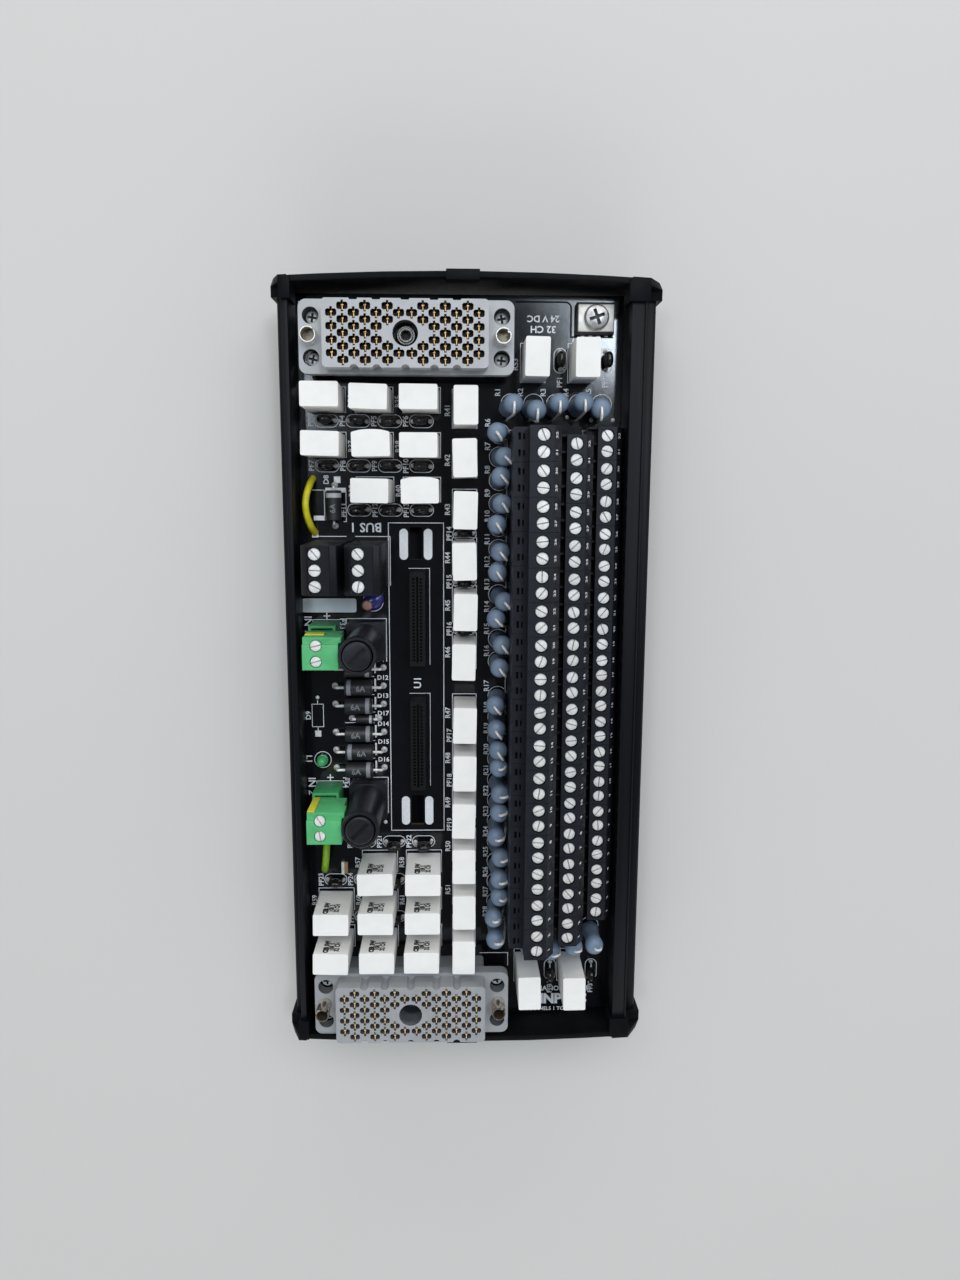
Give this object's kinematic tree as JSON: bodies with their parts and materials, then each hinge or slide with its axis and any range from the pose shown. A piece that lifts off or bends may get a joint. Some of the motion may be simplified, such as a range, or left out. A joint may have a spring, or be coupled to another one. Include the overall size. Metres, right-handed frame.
{
  "type": "termination board",
  "caption": "Rail-mounted termination board: stepped screw terminals, rack connectors, ceramic resistors, fuses and plug-in supply connectors on a black board in an extruded carrier.",
  "frame": {"origin": "middle of the footprint, at the undersides of the rail feet", "axes": "+X across the board towards the screw terminals, +Y along the board towards the earth clamp, +Z out of the board, away from the rail"},
  "size_m": [0.1272, 0.2652, 0.0641],
  "materials": {
    "carrier_black": "extruded, satin black",
    "end_plate_black": "moulded, satin black",
    "foot_black": "moulded, matt black",
    "latch_grey": "moulded, matt dark grey",
    "board_black": "glossy black solder mask with white marks",
    "connector_grey": "moulded, light grey",
    "contact_gold": "gold plated",
    "plated_steel": "zinc plated",
    "nickel": "nickel plated",
    "terminal_black": "moulded, satin black",
    "ceramic_white": "unglazed white ceramic",
    "load_blue": "slate blue lacquer",
    "tinned_wire": "tinned",
    "tablet_dark": "dark resin coat",
    "diode_black": "moulded epoxy with a pale band",
    "fuse_black": "moulded, glossy black",
    "fuse_glass": "clear glass",
    "plug_green": "moulded, bright green",
    "header_green": "moulded, green",
    "marker_yellow": "yellow film",
    "socket_black": "moulded, matt black",
    "lamp_green": "tinted clear green",
    "capacitor_blue": "dipped blue coat",
    "wire_yellow": "yellow sleeve",
    "wire_earth": "green and yellow sleeve",
    "chip_tan": "tan body"
  },
  "bodies": {
    "carrier": {"carrier_profile": "carrier_black", "upper_end_plate": "end_plate_black", "lower_end_plate": "end_plate_black", "upper_rail_foot": "foot_black", "lower_rail_foot": "foot_black", "circuit_board": "board_black", "upper_rack_connector": "connector_grey", "lower_rack_connector": "connector_grey", "upper_connector_contacts": "contact_gold", "lower_connector_contacts": "contact_gold", "upper_guide_sleeves": "nickel", "lower_guide_sleeves": "nickel", "connector_screws": "plated_steel", "upper_jack_sleeve": "plated_steel", "terminal_blocks": "terminal_black", "upper_tier_screws": "nickel", "middle_tier_screws": "nickel", "lower_tier_screws": "nickel", "left_bus_terminal": "terminal_black", "right_bus_terminal": "terminal_black", "bus_terminal_screws": "nickel", "upper_ceramic_resistors": "ceramic_white", "lower_ceramic_resistors": "ceramic_white", "row_ceramic_resistors": "ceramic_white", "edge_ceramic_resistors": "ceramic_white", "load_resistors": "load_blue", "load_resistor_wires": "tinned_wire", "resettable_fuses": "tablet_dark", "power_diodes": "diode_black", "small_diode": "diode_black", "link_diode": "diode_black", "diode_wires": "tinned_wire", "upper_fuse_holder": "fuse_black", "lower_fuse_holder": "fuse_black", "upper_fuse_link": "fuse_glass", "lower_fuse_link": "fuse_glass", "upper_supply_header": "header_green", "lower_supply_header": "header_green", "supply_pins": "tinned_wire", "upper_module_socket": "socket_black", "lower_module_socket": "socket_black", "status_lamp": "lamp_green", "dipped_capacitor": "capacitor_blue", "earth_clamp": "nickel", "earth_clamp_plate": "nickel", "earth_screw": "nickel", "chip_resistor": "chip_tan", "yellow_wire_link": "wire_yellow", "earth_wire_link": "wire_earth"},
    "upper_plug": {"upper_supply_plug": "plug_green", "upper_plug_screws": "nickel", "upper_plug_marker": "marker_yellow"},
    "lower_plug": {"lower_supply_plug": "plug_green", "lower_plug_screws": "nickel", "lower_plug_marker": "marker_yellow"},
    "upper_cap": {"upper_fuse_cap": "fuse_black"},
    "lower_cap": {"lower_fuse_cap": "fuse_black"},
    "upper_latch": {"upper_rail_latch": "latch_grey"},
    "lower_latch": {"lower_rail_latch": "latch_grey"}
  },
  "joints": [
    {"name": "upper_plug_pull", "type": "slide", "parent": "carrier", "child": "upper_plug", "axis": [0, 0, 1], "range_m": [0, 0.012]},
    {"name": "lower_plug_pull", "type": "slide", "parent": "carrier", "child": "lower_plug", "axis": [0, 0, 1], "range_m": [0, 0.012]},
    {"name": "upper_cap_turn", "type": "hinge", "parent": "carrier", "child": "upper_cap", "pos_m": [-0.0349, 0.0118, 0.0576], "axis": [0, 0, 1], "range_deg": [0, 90]},
    {"name": "lower_cap_turn", "type": "hinge", "parent": "carrier", "child": "lower_cap", "pos_m": [-0.0349, -0.0457, 0.0576], "axis": [0, 0, 1], "range_deg": [0, 90]},
    {"name": "upper_latch_slide", "type": "slide", "parent": "carrier", "child": "upper_latch", "axis": [1, 0, 0], "range_m": [0, 0.003], "stiffness_N_per_m": 1200, "springref_m": -0.001},
    {"name": "lower_latch_slide", "type": "slide", "parent": "carrier", "child": "lower_latch", "axis": [1, 0, 0], "range_m": [0, 0.003], "stiffness_N_per_m": 1200, "springref_m": -0.001}
  ]
}
